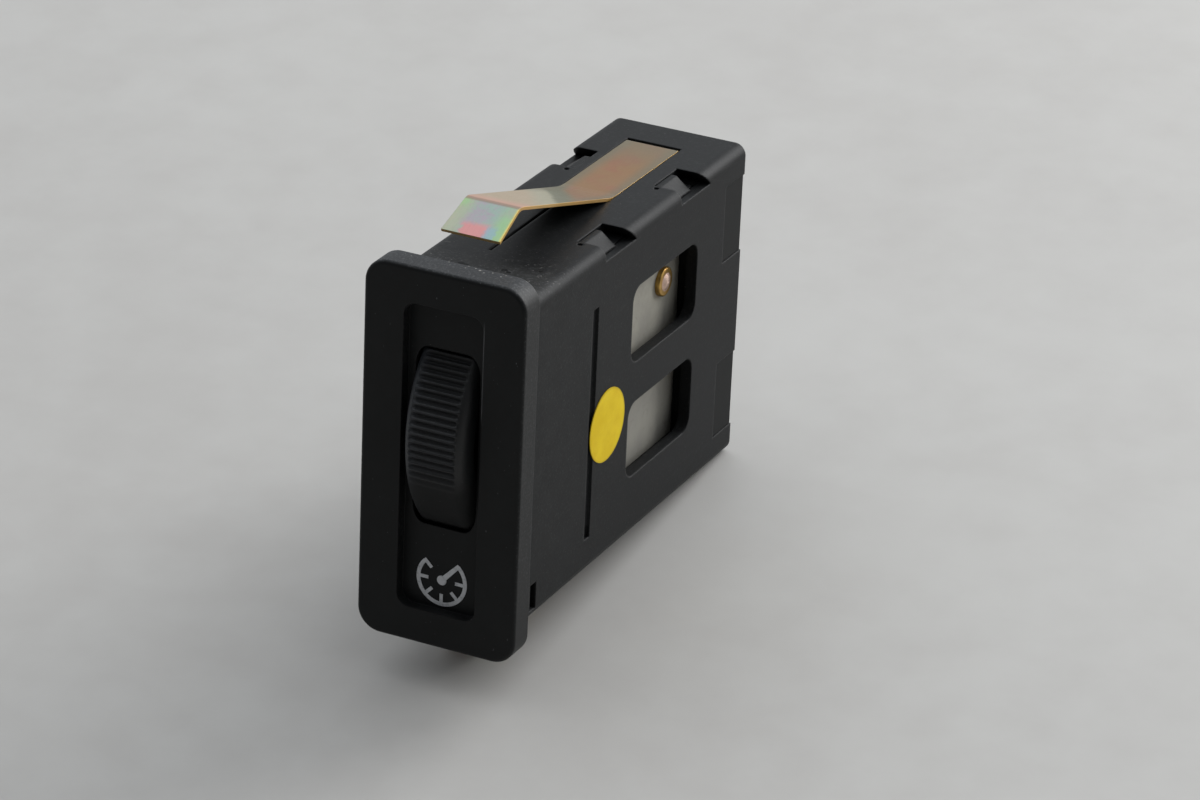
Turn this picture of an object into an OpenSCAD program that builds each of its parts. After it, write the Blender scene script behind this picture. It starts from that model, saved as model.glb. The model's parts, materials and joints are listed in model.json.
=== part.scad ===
// Instrument lighting dimmer for a dashboard panel. A knurled thumb wheel stands out of a
// rounded face plate and sweeps a wiper over a resistor plate inside a long moulded sleeve.
// X is across the face plate, Y runs from the face plate back into the panel, Z is up.
// The origin is the centre of the face plate's back, where it seats against the panel.

/* [Face plate] */
// Width of the face plate
bezel_w = 21.0; // [20.4:0.1:23]
// Height of the face plate
bezel_h = 48.0; // [46:0.1:52]
// Thickness of the face plate
bezel_t = 3.6; // [3.2:0.1:4.2]
// Corner radius of the face plate
bezel_corner_r = 3.0; // [1.5:0.1:4]
// Radius along the front edge of the face plate
bezel_edge_r = 0.5; // [0.2:0.1:0.8]
// Width of the shallow recess
recess_w = 10.4; // [10:0.1:11.4]
// Height of the shallow recess
recess_h = 39.0; // [37:0.1:39.2]
// Corner radius of the recess
recess_corner_r = 1.6; // [1:0.05:2.5]
// Depth of the recess below the front face
recess_depth = 1.5; // [1:0.1:1.6]
// Thickness left in front of the light guide, behind the dial symbol
symbol_skin = 0.9; // [0.6:0.1:1.2]
// Height of the dial symbol's centre, below the middle of the plate
symbol_drop = 15.75; // [15.4:0.05:15.9]
// Radius of the dial symbol
symbol_r = 3.22; // [2.8:0.01:3.3]

/* [Thumb wheel] */
// Radius of the wheel over its ribs
wheel_r = 16.4; // [16:0.1:16.6]
// Width of the wheel
wheel_w = 7.8; // [7:0.1:8]
// Radius of the wheel's rounded shoulders
wheel_shoulder_r = 2.2; // [1.2:0.1:2.6]
// Depth of the wheel's axis behind the panel face
wheel_y = 10.5; // [10.3:0.1:10.9]
// Height of the wheel's axis above the middle
wheel_z = 2.5; // [2.2:0.1:2.7]
// Number of finger grooves
groove_count = 54; // [30:2:54]
// Angle from one groove to the next
groove_pitch = 3.4; // [3.3:0.1:4]
// Diameter of the round bottom of a groove
groove_d = 0.55; // [0.4:0.05:0.7]
// Depth of a groove
groove_depth = 0.48; // [0.3:0.02:0.5]
// Thickness of the wheel's rim
rim_t = 3.0; // [2.8:0.1:3.2]
// Thickness of the web between the rim and the hub
web_t = 2.0; // [1.6:0.1:2.4]
// Diameter of the hub
hub_d = 8.0; // [7:0.1:9]
// Gap between the wheel's rim and its slot
slot_gap = 0.55; // [0.45:0.05:0.7]
// Gap at each side of the wheel in its slot
slot_side_gap = 0.3; // [0.2:0.05:0.5]
// Travel of the wheel each way from its middle
travel_deg = 50; // [35:1:52]
// Diameter of the axle
axle_d = 3.0; // [2.6:0.1:3.4]
// Radial running clearance of the wheel on its axle
run_clearance = 0.05; // [0.03:0.01:0.08]

/* [Sleeve] */
// Width of the sleeve
body_w = 18.6; // [18.4:0.1:19.4]
// Height of the sleeve
body_h = 42.0; // [42:0.1:43]
// Length of the sleeve behind the panel face
body_l = 59.1; // [58.5:0.1:62]
// Wall thickness of the sleeve
wall = 1.5; // [1.4:0.1:1.6]
// Radius along the sleeve's long edges
body_edge_r = 1.5; // [0.5:0.1:1.6]
// Clearance around the pieces that slide into the sleeve
fit_gap = 0.1; // [0.05:0.05:0.15]
// Length of a cooling window
window_l = 18.1; // [16:0.1:19]
// Height of a cooling window
window_h = 10.1; // [8:0.1:10.6]
// Corner radius of a cooling window
window_r = 2.0; // [1:0.1:3]
// Start of the cooling windows behind the panel face
window_y = 27.9; // [27.5:0.1:28.5]
// Height of the bar between the two windows
window_bar = 5.3; // [5:0.1:7]
// Start of the shallow upright groove
side_groove_y = 16.9; // [15:0.1:17.5]
// Width of the upright groove
side_groove_w = 1.4; // [0.8:0.1:1.6]
// Length of the upright groove
side_groove_l = 30.2; // [26:0.1:32]
// Height of the upright groove's middle
side_groove_z = -1.1; // [-1.5:0.1:0]
// Depth of the shallow grooves
groove_cut = 0.4; // [0.2:0.05:0.5]
// Start of the fine score line ahead of the top spring's channel
score_y = 11.9; // [10:0.1:14]
// Place of the score line across the sleeve
score_x = -2.2; // [-3:0.1:3]
// Width of the score line
score_w = 0.4; // [0.3:0.05:0.6]
// Depth of the score line
score_cut = 0.25; // [0.15:0.05:0.35]

/* [Catches] */
// Start of the front pair of corner catch windows
catch_y_front = 19.8; // [19:0.1:20.5]
// Start of the rear pair of corner catch windows
catch_y_rear = 40.6; // [40:0.1:41]
// Length of a corner catch window on top
catch_l = 6.5; // [6:0.1:6.8]
// Backward lean of a corner catch window's rear wall
catch_lean = 45; // [30:1:50]
// Width of a corner catch window across the edge
catch_w = 3.9; // [3.6:0.1:4.1]
// Depth of a corner catch window down the side
catch_h = 1.75; // [1.6:0.05:2]
// Length of a catch hook
hook_l = 4.5; // [3.5:0.1:5]
// Gap at the front and the inner side of a catch hook
hook_gap = 0.15; // [0.1:0.05:0.3]
// Flat width on top of a catch hook
hook_flat = 0.7; // [0.5:0.1:1]
// Overhang of a catch hook over the sleeve's side wall
hook_nose = 0.5; // [0.3:0.1:0.8]
// Diameter of the mark ahead of a catch window
mark_d = 0.7; // [0.5:0.1:0.9]
// Height of the face plate's side catch
tongue_h = 3.5; // [2.6:0.1:3.6]
// Height of the side catch's centre below the middle
tongue_drop = 17.95; // [17.5:0.05:17.95]
// Rear end of the side catch window behind the panel face
tongue_l = 4.2; // [4:0.1:4.4]
// Length of the side catch window
tongue_slot_l = 1.5; // [1.3:0.1:2]
// Depth of the side catch below the sleeve's side
tongue_inset = 0.7; // [0.2:0.1:1]
// Length of a rear notch
notch_l = 5.4; // [5:0.1:6.5]
// Height of a rear notch
notch_h = 10.2; // [9:0.1:10.6]
// Height of a rear notch's centre from the middle
notch_z = 12.0; // [11.5:0.1:12.2]
// Depth of the cover's lug below the sleeve's side
lug_drop = 0.1; // [0.1:0.1:0.6]

/* [Panel springs] */
// Width of the spring strip
spring_w = 7.1; // [6:0.1:7.5]
// Thickness of the spring strip
spring_t = 0.4; // [0.3:0.05:0.5]
// Height of the spring's crest above the sleeve
crest_h = 7.2; // [5:0.1:7.4]
// Slope of the spring's ramp
ramp_deg = 16.5; // [15:0.1:20]
// Slope of the spring's free tip
tip_deg = 22; // [15:1:30]
// Straight length of the free tip
tip_l = 5.4; // [2:0.1:5.6]
// Widening of the free tip at each side
tip_flare = 0.3; // [0.1:0.1:0.6]
// Length of the spring's flat tail
tail_l = 17.5; // [17:0.1:20]
// Distance of the tail's hook ahead of the sleeve's rear edge
tail_hook_inset = 6.1; // [5.6:0.1:6.4]
// Bend radius where the ramp leaves the tail
ramp_bend_r = 8.0; // [4:0.5:10]
// Bend radius at the crest
crest_bend_r = 2.0; // [1:0.5:4]
// Offset of the spring to one side
spring_x = -0.6; // [-0.8:0.1:0.5]
// Skew of the spring, as it sits in its channel
spring_skew = 0.2; // [0:0.1:1.4]
// Gap at each side of the spring's tail in its channel
channel_gap = 0.15; // [0.1:0.05:0.4]

/* [Resistor plate] */
// Thickness of the plate
plate_t = 1.0; // [0.8:0.1:1]
// Height of the plate
plate_h = 30.0; // [29:0.5:31]
// Start of the plate behind the panel face
plate_y = 3.0; // [2.5:0.1:4]
// Length of the plate
plate_l = 46.9; // [46:0.1:47.2]
// Space between the plate and the sleeve's wall
plate_space = 1.5; // [1.2:0.1:1.6]
// Thickness of the printed tracks
track_t = 0.1; // [0.06:0.02:0.14]
// Radius of the resistor track about the axle
track_r = 12.0; // [11.6:0.1:12.2]
// Radius of the conductor track about the axle
collector_r = 9.0; // [8.6:0.1:9.4]
// Width of a track
track_w = 1.4; // [1.2:0.1:1.6]
// Width of the printed leads
lead_w = 1.4; // [1:0.1:1.6]
// Distance of the eyelets ahead of the rear cover
eyelet_ahead = 4.8; // [4.4:0.1:6]
// Outside diameter of an eyelet's rolled rim
eyelet_d = 3.8; // [3.5:0.1:4.2]
// Diameter of an eyelet's barrel
eyelet_barrel_d = 3.0; // [2.6:0.1:3.2]
// Bore of an eyelet
eyelet_bore_d = 2.4; // [2:0.1:2.5]
// Height of the rolled rim over the plate
eyelet_lip = 0.65; // [0.5:0.05:0.7]
// Thickness of an eyelet's flange on the terminal
eyelet_rim = 0.4; // [0.3:0.05:0.5]
// Height of the solder's dome over the rolled rim
solder_dome = 0.3; // [0.15:0.05:0.3]

/* [Rear cover and terminals] */
// Length of the rear cover ahead of the sleeve's rear edge
cover_l = 11.8; // [11.5:0.1:12.2]
// Thickness of the cover's walls
cover_wall = 1.5; // [1.2:0.1:1.6]
// Distance of the cover's rear face inside the sleeve's rear edge
cover_inset = 0.2; // [0:0.1:0.4]
// Width of the connector socket
socket_w = 10.4; // [10:0.1:10.6]
// Height of the connector socket
socket_h = 16.6; // [16.4:0.1:17]
// Height of the earth terminal, the middle of the three
socket_z = 2.6; // [2.5:0.1:2.8]
// Distance from one terminal to the next
blade_pitch = 5.4; // [5.2:0.1:5.5]
// Width of a blade
blade_w = 2.8; // [2.4:0.1:3]
// Thickness of a blade
blade_t = 0.8; // [0.6:0.1:0.9]
// Distance of a blade's tip inside the cover's rear face
blade_inset = 1.0; // [0.5:0.1:2]
// Width of a terminal's foot on the plate
foot_w = 5.0; // [4.8:0.1:5.2]

/* [Lamp] */
// Height of the lamp's axis, below the middle
lamp_drop = 13.2; // [13:0.1:13.4]
// Diameter of the lamp's glass
lamp_d = 5.0; // [4.6:0.1:5.2]
// Length of the lamp's glass ahead of its holder
lamp_l = 7.3; // [6:0.1:7.5]
// Diameter of the lamp holder's body
holder_d = 6.8; // [6.4:0.1:7]
// Diameter of the lamp holder's flange
holder_flange_d = 9.0; // [8.6:0.1:9.2]
// Width of the light guide
guide_w = 6.8; // [6.6:0.1:7]
// Thickness of the light guide bar
guide_t = 4.6; // [4:0.1:4.7]

/* [Sticker] */
// Diameter of the round sticker
dot_d = 9.4; // [8:0.1:10]
// Distance of the sticker's centre behind the panel face
dot_y = 21.9; // [21:0.1:22.2]
// Height of the sticker's centre
dot_z = -2.75; // [-6:0.05:4]
// Thickness of the sticker
dot_t = 0.1; // [0.05:0.05:0.2]

/* [Hidden] */

// Sleeve and what slides into it
side_x = body_w/2;
top_z = body_h/2;
cav_x = side_x - wall;
cav_z = top_z - wall;
in_x = cav_x - fit_gap;
in_z = cav_z - fit_gap;

// Wheel and its slot
slot_r = wheel_r + slot_gap;
slot_w = wheel_w + 2*slot_side_gap;
slot_shoulder_r = wheel_shoulder_r - slot_gap;
web_x = web_t/2;

// Wiper, its rivets beside the hub, and its contacts just off the tracks
rivet_r = hub_d/2 + 1.8;
rivet_d = 1.6;
wiper_t = 0.3;
wiper_w = 1.8;
contact_d = 1.2;
contact_h = 0.5;
contact_gap = 0.05;
arm_z = 1.4;

// Side catches of the face plate
tongue_y = tongue_l - tongue_slot_l;
tongue_w = 1.2;

// Stop lug on the wheel between two stop posts on the carrier
stop_r_in = hub_d/2 + 4;
stop_r_out = stop_r_in + 3;
lug_half = 7;
post_half = 6;
stop_play = 0.4;

// Plate, tracks and feet, from the sleeve's right wall inwards
plate_out = cav_x - plate_space;
plate_in = plate_out - plate_t;
track_in = plate_in - track_t;
foot_in = track_in - blade_t;
lamp_arm_x = holder_d/2 + 0.3;
lamp_arm_w = plate_in - 0.3 - lamp_arm_x;
track_half = travel_deg + 6;
lead_top_z = wheel_z + (track_r + track_w/2)*sin(track_half) - lead_w/2;
lead_low_z = wheel_z - (track_r + track_w/2)*sin(track_half) - 2*lead_w;
contact_x = track_in - contact_gap;
supply_z = socket_z + blade_pitch;
output_z = socket_z - blade_pitch;

// Rear end of the springs, where they hook through the sleeve
tail_hook_y = body_l - tail_hook_inset;
channel_rear = tail_hook_y + spring_t/2 + channel_gap;

// Front end of the spring's channel, ahead of the bend so that the ramp lifts clear
channel_y = tail_hook_y - tail_l - ramp_bend_r*tan(ramp_deg/2) - spring_t/tan(ramp_deg) - 0.3;

// Carrier walls and rails
carrier_t = 1.5;
carrier_y = tongue_l + 0.3;
rail_x = plate_in - 1;
plate_slip = 0.05;
rail_z = plate_h/2 - 0.8;
boss_d = hub_d;
axle_clip_t = 0.4;
axle_clip_d = axle_d + 3;
axle_neck_d = axle_d - 0.8;
axle_end = 0.3;
axle_mouth = 2*axle_neck_d/3 + 0.5;
axle_clip_x = plate_out + 0.15;
axle_head_t = 0.7;
axle_head_d = axle_d + 2;
washer_t = 0.4;
washer_space = 0.65;
boss_x = -(wheel_w/2 + washer_space);
end_float = 0.05;
bush_x = wheel_w/2 + end_float;
bush_wall = 0.8;

// Rear cover, its floor and its socket
cover_rear = body_l - cover_inset;
cover_front = cover_rear - cover_l;
cover_floor = cover_front + cover_wall;
blade_tip = cover_rear - blade_inset;
eyelet_y = cover_front - eyelet_ahead;
carrier_rear = cover_front - 0.3;
socket_top = socket_z + socket_h/2;
socket_low = socket_z - socket_h/2;

// Lamp group
lamp_z = -lamp_drop;
holder_front = cover_front - 2.8;
holder_gap = 0.1;
contact_t = 0.4;
guide_low = -in_z + 0.1;
pocket_depth = bezel_t - recess_depth - symbol_skin;
guide_front = fit_gap - pocket_depth;
guide_rear = holder_front - lamp_l - 1.2;
guide_head_top = symbol_r - symbol_drop + 0.35;
guide_head_y = 1.4;
guide_step_l = 9;
guide_slope_l = 3;

// A rounded rectangle, w across and h high.
module rounded_rect(w, h, r) {
  square([w - 2*r, h], center = true);
  square([w, h - 2*r], center = true);
  for (sx = [-1, 1], sz = [-1, 1])
    translate([sx*(w/2 - r), sz*(h/2 - r)]) circle(r = r, $fn = 32);
}

// Runs an X-Z outline back from depth y by length l.
module deep(y, l) {
  translate([0, y + l, 0]) rotate([90, 0, 0]) linear_extrude(l) children();
}

// Runs a Y-Z outline to the right from x by width w.
module across(x, w) {
  translate([x, 0, 0]) rotate([90, 0, 90]) linear_extrude(w) children();
}

// Runs an X-Y outline up from z by height h.
module upright(z, h) {
  translate([0, 0, z]) linear_extrude(h) children();
}

// Copies what follows to the left and right side.
module both_sides() {
  for (sx = [0, 1]) mirror([sx, 0, 0]) children();
}

// Copies what follows to the top and the bottom.
module top_and_bottom() {
  for (sz = [0, 1]) mirror([0, 0, sz]) children();
}

// A disc or a tube about an axis along X, from x by length l.
module rod(x, l, d, fn = 48) {
  translate([x, 0, 0]) rotate([0, 90, 0]) cylinder(d = d, h = l, $fn = fn);
}

// A rod about a Y axis, from y by length l.
module post(y, l, d, fn = 48) {
  translate([0, y + l, 0]) rotate([90, 0, 0]) cylinder(d = d, h = l, $fn = fn);
}

// Moves to the wheel's axis.
module at_wheel() {
  translate([0, wheel_y, wheel_z]) children();
}

// A ring segment in the Y-Z plane about the origin, centred on the direction a.
module ring_segment(r_in, r_out, a, half) {
  far = 2*r_out;
  intersection() {
    difference() {
      circle(r = r_out, $fn = 96);
      circle(r = r_in, $fn = 96);
    }
    polygon([[0, 0], for (k = [-1:0.25:1]) [far*cos(a + k*half), far*sin(a + k*half)]]);
  }
}

// Half outline of a crowned rim with rounded shoulders: radius by place along the axis.
module crown(r, w, shoulder) {
  square([r - shoulder, w]);
  translate([0, shoulder]) square([r, w - 2*shoulder]);
  for (x = [shoulder, w - shoulder]) translate([r - shoulder, x]) circle(r = shoulder, $fn = 48);
}

// A solid crowned wheel about X, centred on the middle plane.
module crowned_disc(r, w, shoulder) {
  translate([-w/2, 0, 0]) rotate([0, 90, 0]) rotate_extrude($fn = 128) crown(r, w, shoulder);
}

// Moves a station [y, z, heading] forward by d.
function go(p, d) = [p[0] + d*cos(p[2]), p[1] + d*sin(p[2]), p[2]];

// Turns a station through a degrees about a radius r.
function turn(p, r, a) = [p[0] + sign(a)*r*(sin(p[2] + a) - sin(p[2])),
  p[1] - sign(a)*r*(cos(p[2] + a) - cos(p[2])), p[2] + a];

// Stations along the middle of a strip, from moves [straight length, bend radius, bend angle].
function stations(moves, p, i = 0) = i == len(moves) ? [p] :
  let (m = moves[i], q = go(p, m[0]), n = ceil(abs(m[2])/9))
  concat([p], n == 0 ? [] : [q], [for (k = [1:1:n - 1]) turn(q, m[1], m[2]*k/n)],
    stations(moves, turn(q, m[1], m[2]), i + 1));

// Edge outline of a strip of thickness t along its stations.
module strip(line, t) {
  left = [for (s = line) [s[0] - sin(s[2])*t/2, s[1] + cos(s[2])*t/2]];
  right = [for (s = line) [s[0] + sin(s[2])*t/2, s[1] - cos(s[2])*t/2]];
  polygon(concat(left, [for (i = [len(right) - 1:-1:0]) right[i]]));
}

// Plain plate with a radius on its front edge, from the panel face forward.
module front_plate() {
  w = bezel_w;
  h = bezel_h;
  e = bezel_edge_r;
  c = bezel_corner_r;
  deep(-bezel_t + e, bezel_t - e) rounded_rect(w, h, c);
  deep(-bezel_t, bezel_t) rounded_rect(w - 2*e, h - 2*e, c - e);
  for (s = [-1, 1]) {
    translate([s*(w/2 - e), -bezel_t + e, -h/2 + c]) cylinder(r = e, h = h - 2*c, $fn = 32);
    translate([-w/2 + c, -bezel_t + e, s*(h/2 - e)]) rotate([0, 90, 0])
      cylinder(r = e, h = w - 2*c, $fn = 32);
  }
  for (sx = [-1, 1], sz = [-1, 1])
    translate([sx*(w/2 - c), -bezel_t + e, sz*(h/2 - c)]) rotate([90, 0, 0])
      rotate_extrude($fn = 48) translate([c - e, 0]) circle(r = e, $fn = 32);
}

// Face plate with its recess, wheel slot, thinned symbol field and side catches.
module bezel() {
  color("#1a1b1b") {
    difference() {
      front_plate();
      deep(-bezel_t - 1, recess_depth + 1) rounded_rect(recess_w, recess_h, recess_corner_r);
      at_wheel() crowned_disc(slot_r, slot_w, slot_shoulder_r);
      translate([-guide_w/2 - fit_gap, -pocket_depth, guide_low - fit_gap])
        cube([guide_w + 2*fit_gap, bezel_t, guide_head_top - guide_low + 2*fit_gap]);
    }
    both_sides() upright(-tongue_drop - tongue_h/2 + fit_gap, tongue_h - 2*fit_gap)
      polygon([[in_x - tongue_w, -0.5], [in_x, -0.5], [in_x, tongue_y + fit_gap],
        [side_x - tongue_inset, tongue_y + fit_gap], [side_x - tongue_inset, tongue_y + tongue_slot_l/2],
        [in_x, tongue_l - fit_gap], [in_x - tongue_w, tongue_l - fit_gap]]);
  }
}

// Wheel's stop lug, in the wheel's own place.
module stop_lug() {
  across(-wheel_w/2 + 0.4, wheel_w/2 - 0.4) ring_segment(stop_r_in, stop_r_out, 0, lug_half);
}

// Crowned wheel with finger grooves, a dished web on each side, a hub and a stop lug.
module thumb_wheel() {
  color("#202122") at_wheel() difference() {
    union() {
      difference() {
        crowned_disc(wheel_r, wheel_w, wheel_shoulder_r);
        for (s = [-1, 1]) difference() {
          rod(s > 0 ? web_x : -web_x - wheel_w, wheel_w, 2*(wheel_r - rim_t), 96);
          rod(-wheel_w, 2*wheel_w, hub_d);
        }
      }
      stop_lug();
    }
    rod(-wheel_w, 2*wheel_w, axle_d + 2*run_clearance);
    for (k = [0:groove_count - 1]) rotate([(k - (groove_count - 1)/2)*groove_pitch, 0, 0])
      translate([0, -(wheel_r - groove_depth + groove_d/2), 0])
        rod(-wheel_w, 2*wheel_w, groove_d, 16);
    for (s = [-1, 1]) translate([0, 0, s*rivet_r]) rod(-wheel_w, 2*wheel_w, rivet_d, 32);
  }
}

// Long moulded sleeve: cooling windows on the right, catch windows on all edges, spring channels.
module housing() {
  color("#3b3c3d") difference() {
    deep(0, body_l) rounded_rect(body_w, body_h, body_edge_r);
    deep(-1, body_l + 2) square([2*cav_x, 2*cav_z], center = true);
    for (s = [-1, 1]) translate([0, window_y + window_l/2, s*(window_bar + window_h)/2])
      across(cav_x - 1, wall + 2) rounded_rect(window_l, window_h, window_r);
    both_sides() translate([side_x - groove_cut, side_groove_y, side_groove_z - side_groove_l/2])
      cube([1, side_groove_w, side_groove_l]);
    both_sides() translate([cav_x - 1, tongue_y, -tongue_drop - tongue_h/2])
      cube([wall + 2, tongue_slot_l, tongue_h]);
    both_sides() for (s = [-1, 1]) translate([cav_x - 1, body_l - notch_l, s*notch_z - notch_h/2])
      cube([wall + 2, notch_l + 1, notch_h]);
    both_sides() for (y = [catch_y_front, catch_y_rear]) {
      across(side_x - catch_w, catch_w + 1) polygon([[y, top_z + 1], [y, top_z - catch_h],
        [y + catch_l + catch_h*tan(catch_lean), top_z - catch_h],
        [y + catch_l, top_z], [y + catch_l, top_z + 1]]);
      translate([side_x - catch_w + mark_d, y - mark_d, top_z - groove_cut])
        cylinder(d = mark_d, h = 1, $fn = 16);
    }
    top_and_bottom() spring_place() {
      translate([-spring_w/2 - channel_gap, channel_y, top_z - spring_t])
        cube([spring_w + 2*channel_gap, channel_rear - channel_y, 1]);
      translate([-spring_w/2 - channel_gap, tail_hook_y - 0.8, cav_z - 1])
        cube([spring_w + 2*channel_gap, channel_rear - tail_hook_y + 0.8, wall + 2]);
    }
    top_and_bottom() translate([score_x - score_w/2, score_y, top_z - score_cut])
      cube([score_w, channel_y - score_y + 0.1, 1]);
  }
}

// Puts a spring, or its channel, over the middle of the sleeve with its small skew.
module spring_place() {
  translate([spring_x, tail_hook_y - 10, 0]) rotate([0, 0, -spring_skew])
    translate([0, 10 - tail_hook_y, 0]) children();
}

// Leaf spring: hook through the sleeve, flat tail, ramp, crest and free tip, bent from one strip.
module leaf_spring() {
  hook_r = 0.5;
  hook_z = top_z - wall - 0.6;
  flat_z = top_z - spring_t/2;
  bends = ramp_bend_r + crest_bend_r;
  ramp_l = (crest_h - bends*(1 - cos(ramp_deg)))/sin(ramp_deg);
  line = stations([[flat_z - hook_z - hook_r, hook_r, 90], [tail_l - hook_r, ramp_bend_r, -ramp_deg],
    [ramp_l, crest_bend_r, ramp_deg + tip_deg], [tip_l, 0, 0]], [tail_hook_y, hook_z, 90]);
  free = line[len(line) - 1][0];
  bent = line[len(line) - 2][0];
  half = spring_w/2;
  wide = half + tip_flare;
  spring_place() intersection() {
    across(-wide, 2*wide) strip(line, spring_t);
    upright(-body_h, 3*body_h) polygon([[-half, body_l], [-half, bent], [-wide, free], [-wide, free - 1],
      [wide, free - 1], [wide, free], [half, bent], [half, body_l]]);
  }
}

module leaf_spring_top() {
  color("#b9a25a") leaf_spring();
}

module leaf_spring_bottom() {
  color("#b9a25a") mirror([0, 0, 1]) leaf_spring();
}

// One catch hook at the upper right edge, sloped outwards to a nose over the side wall.
module catch_hook(y) {
  inner = side_x - catch_w + hook_gap;
  low = top_z - catch_h + fit_gap;
  root = in_z - 0.5;
  deep(y + hook_gap, hook_l) polygon([[inner, root], [inner, top_z - fit_gap],
    [inner + hook_flat, top_z - fit_gap], [cav_x + hook_nose, low], [in_x, low], [in_x, root]]);
}

// Inner frame: left wall with the axle boss and stops, rails that hold the plate, four hooks.
module carrier() {
  length = carrier_rear - carrier_y;
  behind = wheel_y + wheel_r + 1;
  color("#3b3c3d") difference() {
    union() {
      translate([-in_x, carrier_y, -in_z]) cube([carrier_t, length, 2*in_z]);
      top_and_bottom() {
        translate([-in_x, carrier_y, in_z - carrier_t])
          cube([in_x - wheel_w/2 - 0.7, length, carrier_t]);
        translate([rail_x, carrier_y, rail_z]) cube([in_x - rail_x, length, in_z - rail_z]);
      }
      translate([-in_x, behind, in_z - carrier_t]) cube([2*in_x, carrier_rear - behind, carrier_t]);
      translate([-in_x, guide_rear + 0.5, -in_z])
        cube([2*in_x, carrier_rear - guide_rear - 0.5, carrier_t]);
      both_sides() translate([guide_w/2, carrier_y, -in_z]) cube([2, length, carrier_t]);
      at_wheel() rod(-in_x, boss_x + in_x, boss_d);
      at_wheel() for (s = [-1, 1])
        across(-in_x, in_x - web_x - 0.5)
          ring_segment(stop_r_in, stop_r_out, s*(travel_deg + lug_half + post_half + stop_play), post_half);
      both_sides() for (y = [catch_y_front, catch_y_rear]) catch_hook(y);
    }
    translate([plate_in - plate_slip, 0, -plate_h/2 - plate_slip])
      cube([plate_t + 2*plate_slip, body_l, plate_h + 2*plate_slip]);
    at_wheel() rod(-body_w, body_w, axle_d);
    at_wheel() rod(-in_x - 1, axle_head_t + 1, axle_head_d);
  }
}

// Rear cover: walls, floor, connector socket and the hole for the lamp holder.
module rear_cover() {
  pocket_x = in_x - cover_wall;
  color("#2c2c2d") difference() {
    union() {
      translate([-in_x, cover_front, -in_z]) cube([2*in_x, cover_l, 2*in_z]);
      both_sides() for (s = [-1, 1]) translate([0, body_l - notch_l + fit_gap, s*notch_z - notch_h/2 + fit_gap])
        cube([side_x - lug_drop, notch_l - fit_gap - cover_inset, notch_h - 2*fit_gap]);
    }
    translate([-socket_w/2, cover_floor, socket_low]) cube([socket_w, cover_l, socket_h]);
    translate([-pocket_x, cover_floor, socket_top + cover_wall])
      cube([2*pocket_x, cover_l, in_z - 2*cover_wall - socket_top]);
    translate([-pocket_x, cover_floor, cover_wall - in_z])
      cube([2*pocket_x, cover_l, in_z - 2*cover_wall + socket_low]);
    translate([0, 0, lamp_z]) post(cover_front - 1, cover_l, holder_d + 2*holder_gap);
    for (z = [output_z, socket_z, supply_z]) translate([-blade_t/2, cover_front - 1, z - blade_w/2])
      cube([blade_t, cover_l, blade_w]);
    translate([plate_in - plate_slip, cover_front - 1, -plate_h/2 - plate_slip])
      cube([plate_t + 2*plate_slip, plate_y + plate_l - cover_front + 1 + plate_slip, plate_h + 2*plate_slip]);
    top_and_bottom() translate([-spring_w/2 - 1, tail_hook_y - 1, in_z - 0.8])
      cube([spring_w + 2, 2, 2]);
  }
}

// Ceramic plate that carries the printed tracks, with holes for the bush and the eyelets.
module resistor_plate() {
  color("#8f8c80") difference() {
    translate([plate_in, plate_y, -plate_h/2]) cube([plate_t, plate_l, plate_h]);
    at_wheel() rod(plate_in - 1, plate_t + 2, axle_d + 2*bush_wall);
    at_eyelets() rod(plate_in - 1, plate_t + 2, eyelet_barrel_d, 32);
  }
}

// Moves to each of the two eyelets.
module at_eyelets() {
  for (z = [supply_z, output_z]) translate([0, eyelet_y, z]) children();
}

// Printed resistor arc and the lead from its upper end to the supply eyelet.
module resistor_track() {
  start_y = wheel_y + track_r*cos(track_half);
  color("#3f3a36") across(track_in, track_t) difference() {
    union() {
      translate([wheel_y, wheel_z]) ring_segment(track_r - track_w/2, track_r + track_w/2, 0, track_half);
      translate([start_y, lead_top_z - lead_w/2]) square([eyelet_y - start_y, lead_w]);
      translate([eyelet_y - lead_w/2, supply_z]) square([lead_w, lead_top_z + lead_w/2 - supply_z]);
      translate([eyelet_y, supply_z]) circle(d = foot_w, $fn = 48);
    }
    translate([eyelet_y, supply_z]) circle(d = eyelet_barrel_d, $fn = 32);
  }
}

// Printed conductor arc and the lead from its lower end to the output eyelet.
module conductor_tracks() {
  end_y = wheel_y + collector_r*cos(track_half);
  end_z = wheel_z - collector_r*sin(track_half);
  color("#a9a9a6") across(track_in, track_t) difference() {
    union() {
      translate([wheel_y, wheel_z])
        ring_segment(collector_r - track_w/2, collector_r + track_w/2, 0, track_half);
      translate([end_y - lead_w/2, lead_low_z - lead_w/2]) square([lead_w, end_z - lead_low_z + lead_w/2]);
      translate([end_y - lead_w/2, lead_low_z - lead_w/2])
        square([eyelet_y - end_y + lead_w, lead_w]);
      translate([eyelet_y - lead_w/2, lead_low_z - lead_w/2]) square([lead_w, output_z - lead_low_z]);
      translate([eyelet_y, output_z]) circle(d = foot_w, $fn = 48);
    }
    translate([eyelet_y, output_z]) circle(d = eyelet_barrel_d, $fn = 32);
  }
}

// Half outline of an eyelet's rolled rim: radius by height over the plate.
module rolled_rim() {
  roll = 0.25;
  square([eyelet_d/2, eyelet_lip - roll]);
  square([eyelet_d/2 - roll, eyelet_lip]);
  translate([eyelet_d/2 - roll, eyelet_lip - roll]) circle(r = roll, $fn = 32);
}

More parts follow.
